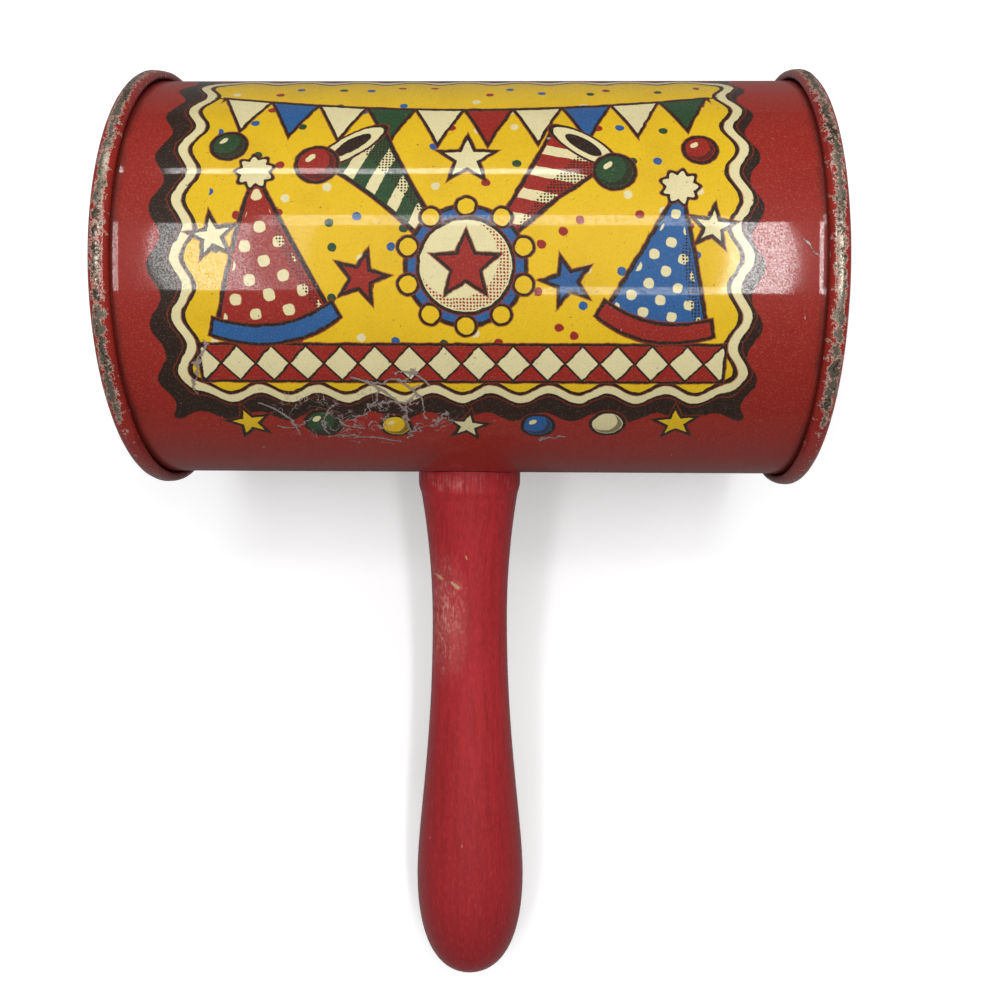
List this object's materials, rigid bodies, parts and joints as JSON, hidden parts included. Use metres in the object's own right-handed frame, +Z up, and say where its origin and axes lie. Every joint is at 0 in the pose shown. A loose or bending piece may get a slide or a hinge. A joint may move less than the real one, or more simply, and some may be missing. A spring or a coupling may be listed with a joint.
{
  "type": "shaker noisemaker",
  "caption": "Party shaker noisemaker: sealed printed tinplate drum of loose shot, seamed at both ends, nailed crosswise on a turned red wooden handle.",
  "frame": {"origin": "on the surface that the toy lies on, under the middle of its box", "axes": "+X along the drum's axis to the right of the print, +Y away from the handle, +Z up out of the printed front"},
  "size_m": [0.0882, 0.1296, 0.057],
  "materials": {
    "printed_tin": "glossy litho print on tinplate, red ground with a yellow panel, lightly scratched",
    "end_tin": "glossy red lacquer on tinplate, worn to bare metal along the seam",
    "handle_wood": "turned hardwood with a streaky red stain, worn pale at the collar",
    "nail_steel": "bright drawn steel",
    "washer_tin": "plain tinplate",
    "shot": "dull grey steel shot"
  },
  "bodies": {
    "toy": {"can_body": "printed_tin", "left_end_cap": "end_tin", "right_end_cap": "end_tin", "handle": "handle_wood", "handle_nail": "nail_steel", "nail_washer": "washer_tin"},
    "rattle_pellet_01": {"rattle_pellet_01": "shot"},
    "rattle_pellet_02": {"rattle_pellet_02": "shot"},
    "rattle_pellet_03": {"rattle_pellet_03": "shot"},
    "rattle_pellet_04": {"rattle_pellet_04": "shot"},
    "rattle_pellet_05": {"rattle_pellet_05": "shot"},
    "rattle_pellet_06": {"rattle_pellet_06": "shot"},
    "rattle_pellet_07": {"rattle_pellet_07": "shot"},
    "rattle_pellet_08": {"rattle_pellet_08": "shot"},
    "rattle_pellet_09": {"rattle_pellet_09": "shot"},
    "rattle_pellet_10": {"rattle_pellet_10": "shot"}
  },
  "joints": [
    {"name": "pellet_01_roll", "type": "hinge", "parent": "toy", "child": "rattle_pellet_01", "pos_m": [0, 0.0363, 0.0285], "axis": [1, 0, 0], "continuous": true},
    {"name": "pellet_02_roll", "type": "hinge", "parent": "toy", "child": "rattle_pellet_02", "pos_m": [0, 0.0363, 0.0285], "axis": [1, 0, 0], "continuous": true},
    {"name": "pellet_03_roll", "type": "hinge", "parent": "toy", "child": "rattle_pellet_03", "pos_m": [0, 0.0363, 0.0285], "axis": [1, 0, 0], "continuous": true},
    {"name": "pellet_04_roll", "type": "hinge", "parent": "toy", "child": "rattle_pellet_04", "pos_m": [0, 0.0363, 0.0285], "axis": [1, 0, 0], "continuous": true},
    {"name": "pellet_05_roll", "type": "hinge", "parent": "toy", "child": "rattle_pellet_05", "pos_m": [0, 0.0363, 0.0285], "axis": [1, 0, 0], "continuous": true},
    {"name": "pellet_06_roll", "type": "hinge", "parent": "toy", "child": "rattle_pellet_06", "pos_m": [0, 0.0363, 0.0285], "axis": [1, 0, 0], "continuous": true},
    {"name": "pellet_07_roll", "type": "hinge", "parent": "toy", "child": "rattle_pellet_07", "pos_m": [0, 0.0363, 0.0285], "axis": [1, 0, 0], "continuous": true},
    {"name": "pellet_08_roll", "type": "hinge", "parent": "toy", "child": "rattle_pellet_08", "pos_m": [0, 0.0363, 0.0285], "axis": [1, 0, 0], "continuous": true},
    {"name": "pellet_09_roll", "type": "hinge", "parent": "toy", "child": "rattle_pellet_09", "pos_m": [0, 0.0363, 0.0285], "axis": [1, 0, 0], "continuous": true},
    {"name": "pellet_10_roll", "type": "hinge", "parent": "toy", "child": "rattle_pellet_10", "pos_m": [0, 0.0363, 0.0285], "axis": [1, 0, 0], "continuous": true}
  ]
}
